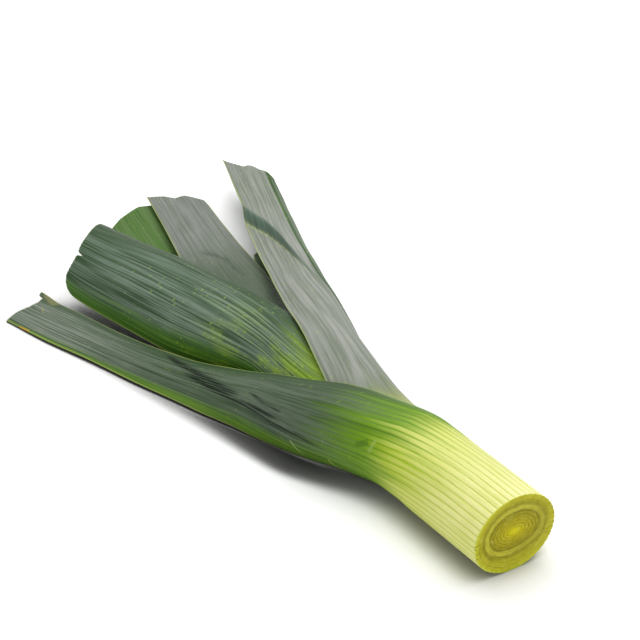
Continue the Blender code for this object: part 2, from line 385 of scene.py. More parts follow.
# fibres, mottling, specks and edges
lit = times(tree, side, greening, rise(tree, yarn["fine"], 0.52, 0.66), blade["litShare"])
base = tint(tree, lit, base, paint(*blade["litColor"]))
dark = times(tree, rise(tree, yarn["fine"], 0.54, 0.36), given["lineShare"], greening)
base = tint(tree, dark, base, blade["darkLine"], "MULTIPLY")
mottled = scaleAdd(tree, yarn["fine"], 0.45, times(tree, yarn["patch"], 0.55))
mottled = times(tree, rise(tree, mottled, 0.47, 0.58), rise(tree, along, 230.0, 140.0))
mottled = times(tree, mottled, times(tree, rise(tree, u, 0.2, 0.6), given["mottle"]))
base = tint(tree, mottled, base, given["fresh"])
specked = times(tree, yarn["speck"], given["speckShare"], greening)
speckFade = rise(tree, along, given["speckEnd"], minus(tree, given["speckEnd"], 60.0))
base = tint(tree, times(tree, specked, speckFade), base, paint(*blade["speckColor"]))
marginLine = times(tree, rise(tree, given["edge"], 0.8, 0.3), blade["marginShare"])
base = tint(tree, marginLine, base, paint(*blade["marginColor"]))
cutLine = times(tree, rise(tree, given["tip"], 0.9, 0.1), blade["cutShare"])
base = tint(tree, cutLine, base, paint(*blade["cutColor"]))
base = tint(tree, times(tree, given["inner"], blade["innerShare"]), base, given["side"])
feed(tree, result["color"], base)
rough = scaleAdd(tree, bloomShare, blade["dryness"][1], blade["dryness"][0])
feed(tree, result["roughness"], scaleAdd(tree, minus(tree, yarn["patch"], 0.5), 0.1, rough))
feed(tree, result["height"], scaleAdd(tree, yarn["fine"], 0.8, times(tree, yarn["streak"], 0.3)))

# cut face: faceBands are rings, placed by their share of the way out

face = {
    "middle": (0.0008, 0.0173),
    "coreShift": (-0.0011, 0.0016),
    "halfWidth": 0.0204,
    "flatness": (0.52, 0.36),
    "wobble": 0.05,
    "rippleRate": 74.0,
    "rippleColor": (118, 112, 14),
    "paleFleck": (212, 208, 96),
    "dimFleck": (0.6, 0.6, 0.45, 1),
    "lowRing": (160, 154, 34),
    "pitColor": (84, 80, 18),
}
faceBands = [
    (0.0, (216, 208, 14)),
    (0.14, (198, 188, 12)),
    (0.30, (184, 172, 10)),
    (0.46, (170, 160, 8)),
    (0.56, (156, 146, 8)),
    (0.605, (134, 128, 8)),
    (0.64, (188, 182, 46)),
    (0.715, (194, 188, 58)),
    (0.75, (150, 144, 20)),
    (0.79, (156, 151, 22)),
    (0.84, (180, 175, 34)),
    (0.93, (188, 183, 38)),
    (0.98, (198, 200, 44)),
    (1.0, (208, 214, 76)),
]
cutFlesh, given, result = newGroup(
    "cutFlesh",
    [("place", "Vector", None)],
    [("color", "Color"), ("roughness", "Float"), ("height", "Float")],
)
tree = cutFlesh
x, y, z = split(tree, given["place"])


def oval(middleY, middleZ, flatness):
    sideways = calc(tree, "DIVIDE", minus(tree, y, middleY), face["halfWidth"])
    halfHeight = times(tree, flatness, face["halfWidth"])
    upward = calc(tree, "DIVIDE", minus(tree, z, middleZ), halfHeight)
    return calc(tree, "SQRT", scaleAdd(tree, sideways, sideways, times(tree, upward, upward)))


outline = calc(tree, "MINIMUM", oval(face["middle"][0], face["middle"][1], sum(face["flatness"])), 1.0)
inward = minus(tree, 1.0, calc(tree, "POWER", outline, 5.0))
radius = oval(
    scaleAdd(tree, inward, face["coreShift"][0], face["middle"][0]),
    scaleAdd(tree, inward, face["coreShift"][1], face["middle"][1]),
    scaleAdd(tree, outline, face["flatness"][1], face["flatness"][0]),
)
broad = cloud(tree, given["place"], 140.0, 2.0)
grit = cloud(tree, given["place"], 1100.0, 4.0, 0.65)
blot = cloud(tree, given["place"], 380.0, 3.0)
radius = scaleAdd(tree, minus(tree, broad, 0.5), face["wobble"], radius)
flesh = ramp(tree, radius, faceBands)
ripple = calc(tree, "SINE", scaleAdd(tree, radius, face["rippleRate"], times(tree, blot, 2.4)))
ripple = times(tree, rise(tree, ripple, 0.55, 1.0), rise(tree, radius, 0.62, 0.5))
ripple = times(tree, ripple, rise(tree, radius, 0.1, 0.24))
flesh = tint(tree, times(tree, ripple, times(tree, blot, 1.4)), flesh, paint(*face["rippleColor"]))
mottle = scaleAdd(tree, blot, 0.5, times(tree, grit, 0.5))
dimShare = times(tree, rise(tree, mottle, 0.5, 0.38), 0.45)
flesh = tint(tree, dimShare, flesh, face["dimFleck"], "MULTIPLY")
flesh = tint(tree, times(tree, rise(tree, mottle, 0.53, 0.66), 0.4), flesh, paint(*face["paleFleck"]))
onRing = times(tree, rise(tree, radius, 0.61, 0.64), rise(tree, radius, 0.77, 0.73))
lowRight = rise(tree, scaleAdd(tree, z, -0.6, plus(tree, y, 0.0104)), -0.002, 0.012)
flesh = tint(tree, times(tree, onRing, lowRight, 0.6), flesh, paint(*face["lowRing"]))
specks = cloud(tree, given["place"], 700.0, 1.0)
upper = rise(tree, z, 0.019, 0.027)
between = times(tree, rise(tree, radius, 0.5, 0.6), rise(tree, radius, 0.84, 0.74))
pits = times(tree, rise(tree, specks, 0.66, 0.74), upper, between)
flesh = tint(tree, times(tree, pits, 0.75), flesh, paint(*face["pitColor"]))
feed(tree, result["color"], flesh)
feed(tree, result["roughness"], scaleAdd(tree, grit, 0.3, 0.32))
feed(tree, result["height"], mottle)
print("shader groups")


# leaf shape

shaft = {
    "faceX": 35.0,
    "axisHeight": 17.3,
    "ribCount": 42,
    "ribHeight": 0.38,
    "ribEnd": 50.0,
    "ribFade": 50.0,
    "ribWander": 0.16,
    "crownWidth": 0.55,
    "grooveWidth": 0.36,
    "pressedHeight": 2.0,
    "marginWall": 0.45,
    "tighter": 0.22,
    "tightLength": 20.0,
}
form = {
    "levelStep": 0.75,
    "foldSharpness": 22,
    "closedArch": 360,
    "thinOver": 60,
    "marginPower": 10,
    "openArch": 345,
    "openOver": 90,
    "fadeLength": 60,
    "swellWaves": (2.5, 150),
    "rimWaves": (0, 45),
    "creaseWaves": (34, 44, 4),
    "jag": 1.3,
    "seamWidth": 0.75,
    "sheathEdge": 40,
}


def soft(t):
    t = np.clip(t, 0, 1)
    return t * t * (3 - 2 * t)


def readStations(rows, at):
    knots = np.array([row[0] for row in rows], float)
    values = np.array([row[1:] for row in rows], float)
    spans = np.diff(knots)
    slopes = np.diff(values, axis=0) / spans[:, None]
    tangents = np.zeros_like(values)
    tangents[0] = slopes[0]
    tangents[-1] = slopes[-1]
    for i in range(1, len(knots) - 1):
        before = slopes[i - 1]
        after = slopes[i]
        same = before * after > 0
        first = 2 * spans[i] + spans[i - 1]
        second = spans[i] + 2 * spans[i - 1]
        mean = (first + second) / (first / np.where(same, before, 1) + second / np.where(same, after, 1))
        tangents[i] = np.where(same, mean, 0)
    at = np.clip(at, knots[0], knots[-1])
    cell = np.clip(np.searchsorted(knots, at, side="right") - 1, 0, len(knots) - 2)
    span = spans[cell][:, None]
    t = (at - knots[cell])[:, None] / span
    value = values[cell] * (2 * t**3 - 3 * t**2 + 1) + tangents[cell] * span * (t**3 - 2 * t**2 + t)
    return value + values[cell + 1] * (3 * t**2 - 2 * t**3) + tangents[cell + 1] * span * (t**3 - t**2)


def sheathStation(leaf, distance, wall):
    halfWidth, halfHeight = leaf["ring"]
    keel = leaf["keel"]
    y = halfWidth * math.cos(math.radians(keel))
    z = shaft["axisHeight"] + halfHeight * math.sin(math.radians(keel))
    return (distance, y, z, keel, 360, 2 * math.pi * halfWidth, halfHeight / halfWidth, 0, wall)


def runningSum(slope, columns):
    step = (slope[:, 1:] + slope[:, :-1]) / 2 / columns
    total = np.concatenate([np.zeros((len(slope), 1)), np.cumsum(step, axis=1)], axis=1)
    return total - total[:, columns // 2 : columns // 2 + 1]


def waves(across, distance, seed, acrossRate, alongLength, count=5):
    # smooth wandering height between about -1 and 1
    draw = np.random.RandomState(seed)
    total = np.zeros_like(distance)
    for k in range(count):
        rate = acrossRate * draw.uniform(0.4, 1.3)
        length = alongLength * draw.uniform(0.7, 1.8)
        total = total + np.sin(2 * np.pi * (rate * across + distance / length) + draw.uniform(0, 6.28))
    return total / count


def lineReach(path, across, distance, width):
    # millimetres from each point of the leaf to a line drawn on it, and how far along the line
    nearest = np.full(distance.shape, 1e3)
    share = np.zeros(distance.shape)
    for index, ((u0, s0), (u1, s1)) in enumerate(zip(path, path[1:])):
        dx = (u1 - u0) * width
        dy = s1 - s0
        px = (across - u0) * width
        py = distance - s0
        t = np.clip((px * dx + py * dy) / (dx * dx + dy * dy), 0, 1)
        reach = np.hypot(px - t * dx, py - t * dy)
        share = np.where(reach < nearest, (index + t) / (len(path) - 1), share)
        nearest = np.minimum(nearest, reach)
    return nearest, share


def wrinkles(leaf, across, distance, width):
    total = np.zeros_like(distance)
    for path, thick, strength in leaf.get("wrinkles", []):
        reach, share = lineReach(path, across, distance, width)
        fade = soft(share / 0.2) * soft((1 - share) / 0.25)
        total = np.maximum(total, strength * fade * np.exp(-((reach / thick) ** 2)))
    return total


def leafSurface(leaf):
    columns, rows = leaf["grid"]
    across = np.linspace(-0.5, 0.5, columns + 1)[None, :]
    ends = np.interp(across[0], [p[0] for p in leaf["ends"]], [p[1] for p in leaf["ends"]])
    ends = ends + leaf["ragged"] * waves(across[0] * 60, across[0] * 0, leaf["seed"], 1.0, 1.0, 7)
    length = ends.mean()
    share = np.linspace(0, 1, rows + 1)[:, None]
    distance = share * length + (ends[None, :] - length) * share**5
    levels = np.arange(0, ends.max() + 2 * form["levelStep"], form["levelStep"])
    stations = [
        sheathStation(leaf, 0, leaf["ringWall"]),
        sheathStation(leaf, leaf["closed"], leaf["openWall"]),
        *leaf["stations"],
    ]
    read = readStations(stations, levels)
    y, z, keel, arch, width, flat, fold, wall = [column[:, None] for column in read.T]
    folded = 0.5 * np.tanh(form["foldSharpness"] * (across - leaf.get("keelOffset", 0)))
    bend = across * (1 - fold) + fold * folded
    heading = np.radians(keel) + np.radians(arch) * bend
    levelY = y + width * runningSum(-np.sin(heading), columns)
    levelZ = z + width * flat * runningSum(np.cos(heading), columns)
    openness = soft((form["openArch"] - arch) / form["openOver"])
    margin = np.clip((form["closedArch"] - arch) / form["thinOver"], 0, 1)
    margin = margin * np.abs(2 * across) ** form["marginPower"]
    levelWall = wall + (np.minimum(shaft["marginWall"], wall) - wall) * margin
    levelWall = levelWall + shaft["tighter"] * (1 - soft(levels[:, None] / shaft["tightLength"]))
    # ribs keep their distance from the keel up to narrowTo, then spread and close up with the leaf
    narrowing = np.minimum.accumulate(np.where(levels < leaf["narrowTo"], width[:, 0], 1e3)) / width[0, 0]
    sweep = np.interp(levels, *zip(*leaf.get("sweep", [(0, 0)])))
    drift = np.cumsum(sweep) * form["levelStep"]
    sheets = {
        "y": levelY,
        "z": levelZ,
        "wall": levelWall,
        "heading": heading,
        "width": width + 0 * across,
        "open": openness + 0 * across,
        "strand": narrowing[:, None] * across - drift[:, None],
    }
    at = {}
    for key, sheet in sheets.items():
        at[key] = np.stack(
            [np.interp(distance[:, j], levels, sheet[:, j]) for j in range(columns + 1)], axis=1
        )
    spread = across + 0 * distance
    ridge = np.zeros_like(distance)
    at["groove"] = np.zeros_like(distance)
    if leaf["name"] == "leaf_front":
        sway = shaft["ribWander"] * waves(at["strand"], distance, 4, 9, 90)
        lane = shaft["ribCount"] * (at["strand"] + 0.5) + sway * soft(distance / 30)
        crown = np.abs(2 * (lane % 1) - 1)
        valley = 1 - np.sqrt(1 - (1 - np.clip(crown / shaft["crownWidth"], 0, 1)) ** 2)
        at["groove"] = 1 - soft(crown / shaft["grooveWidth"])
        ribs = shaft["ribHeight"] * valley * (1 - soft((distance - shaft["ribEnd"]) / shaft["ribFade"]))
        pressed = soft(at["z"] / shaft["pressedHeight"])
        at["wall"] = at["wall"] - ribs * pressed * 0.8
        ridge = ridge - ribs * pressed
    strandPhase = leaf["strandCount"] * spread + 0.5 * waves(spread, distance, leaf["seed"] + 3, 3, 260)
    strand = np.abs(2 * (strandPhase % 1) - 1) - 0.5
    fadeIn = at["open"] * soft((distance - leaf["closed"]) / form["fadeLength"])
    ridge = ridge + leaf["strandHeight"] * strand * fadeIn
    ridge = ridge + leaf["swell"] * waves(spread, distance, leaf["seed"], *form["swellWaves"]) * fadeIn
    rim = np.abs(2 * spread) ** 6
    rimRipple = waves(spread * 0, distance, leaf["seed"] + 1, *form["rimWaves"])
    ridge = ridge + leaf["rimWave"] * rim * rimRipple * fadeIn
    # crease: how deep each wrinkle is, also kept as the mask for painted shade in the creases
    crease = wrinkles(leaf, spread, distance, at["width"])
    broken = soft(0.6 + 1.2 * waves(spread, distance, leaf["seed"] + 9, *form["creaseWaves"]))
    crease = np.clip(crease * (0.15 + broken), 0, 1)
    ridge = ridge - leaf.get("wrinkleDepth", 0.6) * crease
    for path, thick, height in leaf.get("crests", []):
        reach, share = lineReach(path, spread, distance, at["width"])
        fade = soft(share / 0.25) * soft((1 - share) / 0.25)
        ridge = ridge + height * fade * np.exp(-((reach / thick) ** 2))
    at["seam"] = np.zeros_like(distance)
    if leaf["name"] == "leaf_tall":
        line = np.interp(across, [p[0] for p in leaf["stepLine"]], [p[1] for p in leaf["stepLine"]])
        jag = form["jag"] * waves(spread * 34, distance * 0, 5, 1.0, 1.0, 6)
        fade = soft((spread - leaf["stepFade"][0]) / (leaf["stepFade"][1] - leaf["stepFade"][0]))
        start = line + jag * fade
        climb = np.clip((distance - start) / leaf["stepLength"], 0, 1)
        at["z"] = at["z"] + leaf["stepHeight"] * (1 - (1 - climb) ** 1.6) * fade
        # the step's band, the steep face that turns from the light, joins the crease mask as painted shade
        band = soft((distance - start + 0.4) / 0.9)
        band = band * (1 - soft((distance - start - leaf["bandLength"]) / 4.5))
        tail = soft((spread + 0.2) / 0.12) * band
        crease = np.maximum(crease, np.maximum(fade**0.5 * band, 0.55 * tail))
        at["seam"] = fade**0.5 * np.exp(-(((distance - start + 0.9) / form["seamWidth"]) ** 2))
    at["y"] = at["y"] + ridge * np.cos(at["heading"])
    at["z"] = at["z"] + ridge * np.sin(at["heading"])
    if "curl" in leaf:
        curled = soft((-0.2 - spread) / 0.3) * soft((distance - leaf["curl"][1]) / 14)
        at["z"] = at["z"] + leaf["curl"][0] * curled
    if leaf["name"] == "leaf_front":
        at["z"] = np.maximum(at["z"], 0)
    at["edge"] = (0.5 - np.abs(spread)) * at["width"] + form["sheathEdge"] * (1 - at["open"])
    if "showEdge" in leaf:
        middle, reach, wider = leaf["showEdge"]
        at["edge"] = at["edge"] / (1 + wider * (spread < 0) * np.exp(-(((distance - middle) / reach) ** 2)))
    at["tip"] = ends[None, :] - distance
    at["crease"] = crease
    at["distance"] = distance
    at["across"] = spread
    return at


def onlyThis(thing):
    bpy.ops.object.select_all(action="DESELECT")
    thing.select_set(True)
    bpy.context.view_layer.objects.active = thing


def addAttribute(mesh, name, values):
    made = mesh.attributes.new(name, "FLOAT", "POINT")
    made.data.foreach_set("value", np.asarray(values, np.float32))


def buildLeaf(leaf):
    # a grid primitive, its points laid on the leaf, its seam merged, then given a wall
    columns, rows = leaf["grid"]
    at = leafSurface(leaf)
    bpy.ops.mesh.primitive_grid_add(x_subdivisions=columns, y_subdivisions=rows, size=2, calc_uvs=True)
    piece = bpy.context.object
    piece.name = leaf["name"] + "_fine"
    mesh = piece.data
    flat = np.zeros(len(mesh.vertices) * 3)
    mesh.vertices.foreach_get("co", flat)
    flat = flat.reshape(-1, 3)
    column = columns - np.rint((flat[:, 0] + 1) / 2 * columns).astype(int)
    row = np.rint((flat[:, 1] + 1) / 2 * rows).astype(int)
    place = np.stack(
        [shaft["faceX"] - at["distance"][row, column], at["y"][row, column], at["z"][row, column]], axis=1
    )
    mesh.vertices.foreach_set("co", (place * mm).ravel())
    corners = np.zeros(len(mesh.loops), int)
    mesh.loops.foreach_get("vertex_index", corners)
    uv = np.stack([at["across"][row, column] + 0.5, at["distance"][row, column] / mapLength], axis=1)
    mesh.uv_layers.active.name = "leafMap"
    mesh.uv_layers.active.uv.foreach_set("vector", uv[corners].ravel())
    for name in ("edge", "tip", "crease", "strand", "groove", "seam"):
        addAttribute(mesh, name, at[name][row, column])
    walls = at["wall"][row, column]
    thickest = float(walls.max())
    group = piece.vertex_groups.new(name="wall")
    for index, wall in enumerate(walls / thickest):
        group.add([index], float(wall), "REPLACE")
    onlyThis(piece)
    bpy.ops.object.mode_set(mode="EDIT")
    bpy.ops.mesh.select_all(action="SELECT")
    bpy.ops.mesh.remove_doubles(threshold=0.000002)
    bpy.ops.object.mode_set(mode="OBJECT")
    outerCount = len(piece.data.vertices)
    bpy.ops.object.modifier_add(type="SOLIDIFY")
    shell = piece.modifiers[-1]
    shell.thickness = thickest * mm
    shell.offset = -1
    shell.use_even_offset = False
    shell.vertex_group = "wall"
    bpy.ops.object.modifier_apply(modifier=shell.name)
    mesh = piece.data
    depth = np.zeros(len(mesh.vertices))
    depth[outerCount:] = 1
    addAttribute(mesh, "depth", depth)
    bpy.ops.object.shade_smooth_by_angle(angle=math.radians(38))
    return piece


def finishShader(tree, surface, color, roughness, height):
    shader = tree.nodes["Principled BSDF"]
    bump = tree.nodes.new("ShaderNodeBump")
    bump.inputs["Strength"].default_value = surface["bumpStrength"]
    bump.inputs["Distance"].default_value = surface["bumpDepth"]
    feed(tree, bump.inputs["Height"], height)
    feed(tree, shader.inputs["Base Color"], color)
    feed(tree, shader.inputs["Roughness"], roughness)
    feed(tree, shader.inputs["Normal"], bump.outputs[0])
    shader.inputs["IOR"].default_value = surface["ior"]
    shader.inputs["Specular IOR Level"].default_value = surface["gloss"]


coat = {
    "seamColor": (176, 188, 120),
    "seamShare": 0.8,
    "faceFrom": (0.0348, 0.03492),
    "bumpStrength": 0.7,
    "bumpDepth": 0.00022,
    "ior": 1.45,
    "gloss": 0.15,
}


def leafMaterial(leaf):
    # blade colour, painted shade in the creases, cut flesh on the end of the shaft, marks, bump
    material = bpy.data.materials.new(leaf["name"] + "_skin")
    material.use_nodes = True
    tree = material.node_tree
    mapNode = tree.nodes.new("ShaderNodeUVMap")
    mapNode.uv_map = "leafMap"
    leafMap = mapNode.outputs[0]
    place = tree.nodes.new("ShaderNodeTexCoord").outputs["Object"]
    look = {key: paint(*value) if isinstance(value, tuple) else value for key, value in leaf["look"].items()}
    skin = useGroup(
        tree,
        leafPaint,
        leafMap=leafMap,
        strand=attribute(tree, "strand"),
        groove=attribute(tree, "groove"),
        edge=attribute(tree, "edge"),
        tip=attribute(tree, "tip"),
        inner=rise(tree, attribute(tree, "depth"), 0.4, 0.9),
        seed=float(leaf["seed"]),
        **look,
    )
    # painted shade: creases, wrinkles and the tall leaf's step band are darkened
    creaseShadeShare = times(tree, attribute(tree, "crease"), leaf.get("creaseShadeShare", 0.8))
    color = tint(tree, creaseShadeShare, skin["color"], paint(*leaf.get("creaseShadeColor", (60, 80, 50))))
    seamShare = times(tree, attribute(tree, "seam"), coat["seamShare"])
    color = tint(tree, seamShare, color, paint(*coat["seamColor"]))
    for start, end, width, thick, share, tone in leaf.get("marks", []):
        spot = useGroup(
            tree,
            lineMark,
            leafMap=leafMap,
            leafWidth=float(width),
            fromU=start[0],
            fromAlong=float(start[1]),
            toU=end[0],
            toAlong=float(end[1]),
            thickness=thick,
        )["mask"]
        color = tint(tree, times(tree, spot, share), color, paint(*tone))
    flesh = useGroup(tree, cutFlesh, place=place)
    onFace = rise(tree, split(tree, place)[0], *coat["faceFrom"])
    color = tint(tree, onFace, color, flesh["color"])
    roughness = blend(tree, onFace, skin["roughness"], flesh["roughness"])
    finishShader(tree, coat, color, roughness, blend(tree, onFace, skin["height"], flesh["height"]))
    return material


def dress(leaf):
    piece = buildLeaf(leaf)
    piece.data.materials.clear()
    piece.data.materials.append(leafMaterial(leaf))
    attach(piece, "root")
    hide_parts(leaf["name"])
    print(leaf["name"], len(piece.data.vertices), "points")


# outermost sheath and the narrow leaf at the front

frontLeaf = {
    "name": "leaf_front",
    "slot": "front_leaf",
    "seed": 11,
    "grid": (252, 186),
    "ring": (20.0, 17.5),
    "ringWall": 2.2,
    "closed": 48,
    "keel": 148,
    "openWall": 2.2,
    "narrowTo": 68,
    # how fast the ribs drift to the -Y margin, by distance from the cut
    "sweep": [
        (14, 0), (30, 0.0005), (48, 0.001), (54, 0.0009),
        (63, 0.0018), (69, 0.0014), (75, 0.0006), (105, 0.0002)
    ],
    "stations": [
        (58, -17.3, 26.3, 150, 300, 105, 0.875, 0, 2.1),
        (68, -17.9, 26.6, 150, 214, 75.2, 0.88, 0, 2.0),
        (85, -23.4, 27.2, 150, 188, 65.5, 0.90, 0, 1.8),
        (95, -26.5, 27.0, 150, 178, 62, 0.92, 0, 1.7),
        (105, -29.4, 26.2, 149, 168, 57.5, 0.94, 0, 1.6),
        (115, -30.8, 24.6, 146, 159, 52, 0.97, 0, 1.5),
        (125, -31.3, 22.4, 142, 149, 46, 1, 0, 1.4),
        (145, -32.5, 18.4, 131, 124, 38, 1, 0, 1.3),
        (170, -37.5, 12.8, 120, 95, 30, 1, 0, 1.2),
        (200, -46.2, 8.8, 112, 75, 24.5, 1, 0, 1.2),
        (235, -55.3, 6.7, 105, 60, 23, 1, 0, 1.1),
        (265, -62.7, 5.7, 100, 50, 25.5, 1, 0, 1.1),
        (298, -71, 5.05, 100, 45, 24.5, 1, 0, 1.1),
    ],
    "ends": [(-0.5, 296), (-0.4, 294.4), (-0.36, 291), (-0.2, 289.6), (0, 288.4), (0.2, 290), (0.5, 290.2)],
    "curl": (2.0, 282),
    "showEdge": (105, 50, 2.0),
    "ragged": 0.35,
    "strandCount": 26,
    "strandHeight": 0.1,
    "swell": 0.22,
    "rimWave": 0.2,
    "wrinkleDepth": 0.65,
    "wrinkles": [
        ([(-0.46, 212), (-0.24, 197), (-0.07, 179), (0.04, 161), (0.09, 147)], 1.5, 1.1),
        ([(-0.08, 193), (0.07, 171), (0.16, 151), (0.14, 133), (0.10, 114)], 1.4, 1.2),
        ([(0.10, 158), (0.18, 140), (0.20, 125), (0.18, 107), (0.20, 92)], 1.2, 1.0),
        ([(-0.02, 148), (0.06, 133), (0.05, 118)], 0.9, 0.8),
    ],
    "crests": [([(0.10, 222), (0.14, 202), (0.22, 171), (0.24, 140), (0.25, 118)], 1.6, 0.45)],
    # near-black crease colour: painted shade in the wrinkles
    "creaseShadeColor": (34, 42, 36),
    "creaseShadeShare": 0.85,
    "look": {
        "ribCount": 60.0,
        "pale": (236, 231, 170),
        "paleLine": (184, 196, 44),
        "fresh": (106, 146, 20),
        "deep": (50, 74, 42),
        # pale grey bloom colour: waxy bloom and painted sheen
        "bloom": (128, 135, 125),
        "bloomFrom": 0.08,
        "paleEnd": 64.0,
        "flush": 0.9,
        "freshEnd": 94.0,
        "slant": -8.0,
        "bloomShare": 0.95,
        "bloomNear": 0.42,
        "bloomFar": 1.1,
        "bloomTurn": 225.0,
        "even": 0.45,
        "lineShare": 0.6,
        "side": (92, 128, 42),
        "sideNear": 0.77,
        "sideFar": 0.95,
    },
    # start and end (share across, mm along), leaf width there, thickness, strength, colour
    "marks": [
        ((0.01, 75), (0.04, 77.5), 68, 2.0, 0.55, (58, 100, 24)),
        ((-0.02, 71.5), (0.05, 72), 68, 1.1, 0.2, (186, 198, 130)),
        ((0.27, 112), (0.41, 108), 54, 0.45, 0.8, (176, 188, 130)),
        ((0.30, 92.5), (0.45, 90), 62, 0.4, 0.8, (186, 196, 120)),
        ((-0.49, 291), (-0.40, 284), 24, 3.0, 0.5, (142, 138, 84)),
        ((0.49, 281), (0.48, 275), 24, 0.6, 0.7, (198, 148, 40)),
        ((-0.1, 283), (0.0, 279), 24, 0.5, 0.35, (176, 150, 60)),
    ],
}
dress(frontLeaf)

# long pale leaf at the back, with its slanting crease

tallLeaf = {
    "name": "leaf_tall",
    "slot": "tall_leaf",
    "seed": 23,
    "grid": (144, 250),
    "ring": (17.5, 15.0),
    "ringWall": 2.1,
    "closed": 72,
    "keel": 55,
    "openWall": 2.0,
    "narrowTo": 100,
    "stations": [
        (85, 10.0, 29.8, 55, 290, 88.8, 0.86, 0, 1.8),
        (100, 11.5, 29.8, 55, 220, 68, 0.87, 0, 1.6),
        (118, 15, 30.0, 56, 165, 54, 0.93, 0, 1.4),
        (135, 19, 29.9, 57, 138, 49, 0.98, 0, 1.3),
        (150, 22.6, 30, 57, 122, 46, 1, 0, 1.2),
        (165, 26.6, 29.8, 58, 108, 43, 1, 0.1, 1.2),
        (185, 32.2, 28.6, 62, 98, 40, 1, 0.25, 1.2),
        (210, 39.6, 25.5, 70, 88, 34, 1, 0.45, 1.1),
        (235, 49.3, 21.5, 69.5, 78, 32.7, 1, 0.7, 1.1),
        (262, 60.0, 17.6, 66.5, 68, 33.2, 1, 0.82, 1.1),
        (285, 68.9, 16.5, 66, 64, 33.2, 1, 0.85, 1.1),
        (300, 74.8, 16.5, 66.5, 63, 31.5, 1, 0.85, 1.1),
        (320, 82.5, 16.2, 70, 62, 31.3, 1, 0.85, 1.1),
        (340, 90.9, 15, 80, 61, 31.3, 1, 0.85, 1.1),
        (368, 102.6, 12.6, 85, 60, 31.5, 1, 0.85, 1.0),
    ],
    "ends": [
        (-0.5, 310), (-0.44, 316), (-0.36, 327.5), (-0.23, 330.5), (-0.14, 334.5), (-0.02, 338.5),
        (0.19, 341), (0.31, 350), (0.43, 359), (0.47, 362.5), (0.5, 367)
    ],
    "ragged": 0.4,
    "keelOffset": -0.21,
    "strandCount": 22,
    "strandHeight": 0.09,
    "swell": 0.2,
    "rimWave": 0.15,
    "stepLine": [(-0.15, 198), (0, 231), (0.1, 253), (0.22, 269), (0.5, 291)],
    "stepFade": (-0.15, 0.15),
    "stepHeight": 4.5,
    "stepLength": 9.0,
    "bandLength": 7.0,
    # dark green step band colour: painted shade
    "creaseShadeColor": (70, 98, 80),
    "creaseShadeShare": 0.75,
    "look": {
        "ribCount": 56.0,
        "pale": (190, 192, 140),
        "paleLine": (160, 170, 80),
        "fresh": (108, 122, 68),
        "deep": (92, 106, 84),
        # pale grey bloom colour: waxy bloom and painted sheen
        "bloom": (153, 154, 149),
        "paleEnd": 93.0,
        "freshEnd": 104.0,
        "bloomShare": 0.95,
        "bloomFar": 0.85,
        "bloomTurn": 290.0,
        "even": 0.62,
        "lineShare": 0.34,
        # dark strip beyond the ridge: painted shade on the half that turns away from the light
        "side": (42, 72, 22),
        "sideBack": 0.33,
        "speckShare": 0.3,
    },
}
dress(tallLeaf)

# broad arched leaf in the middle

wideLeaf = {
    "name": "leaf_wide",
    "slot": "wide_leaf",
    "seed": 37,
    "grid": (150, 210),
    "ring": (15.1, 12.6),
    "ringWall": 2.0,
    "closed": 92,
    "keel": 118,
    "openWall": 1.7,
    "narrowTo": 122,
    "stations": [
        (106, -7.2, 27.7, 118, 280, 73, 0.84, 0, 1.5),
        (122, -7.6, 26.2, 118, 200, 56, 0.88, 0, 1.4),
        (140, -7.6, 25.5, 118, 155, 48, 0.93, 0, 1.3),
        (165, -7.5, 26.8, 117, 135, 47, 1, 0, 1.2),
        (188, -9.8, 29.0, 111, 144, 58, 1, 0, 1.2),
        (220, -15.8, 30, 105, 145, 68, 1, 0, 1.2),
        (250, -22.2, 30, 105, 140, 66.4, 1, 0, 1.1),
        (280, -29.6, 29, 105, 130, 60, 1, 0, 1.1),
        (315, -36, 28, 105, 120, 50, 1, 0, 1.1),
    ],
    "ends": [
        (-0.5, 314), (-0.35, 310), (-0.04, 298.2), (0.11, 293), (0.145, 291.6), (0.16, 287), (0.175, 290.6),
        (0.25, 290), (0.37, 289.8), (0.43, 288), (0.47, 285.5), (0.49, 283), (0.5, 279)
    ],
    "ragged": 0.4,
    "strandCount": 26,
    "strandHeight": 0.16,
    "swell": 0.3,
    "rimWave": 0.15,
    "look": {
        "ribCount": 120.0,
        "pale": (190, 194, 130),
        "paleLine": (150, 168, 50),
        "fresh": (128, 158, 34),
        "deep": (44, 70, 34),
        # grey bloom colour: waxy bloom and painted sheen
        "bloom": (116, 132, 119),
        "paleEnd": 96.0,
        "freshEnd": 148.0,
        "slant": 30.0,
        "bloomShare": 0.9,
        "bloomFar": 0.6,
        "bloomTurn": 260.0,
        "lineShare": 0.55,
        "mottle": 0.7,
        "side": (68, 108, 34),
        "bloomFrom": 0.2,
        "sideNear": 0.72,
        "sideFar": 0.9,
        "speckShare": 0.4,
        "speckEnd": 285.0,
    },
}
dress(wideLeaf)

# flat grey leaf between the wide and the tall one

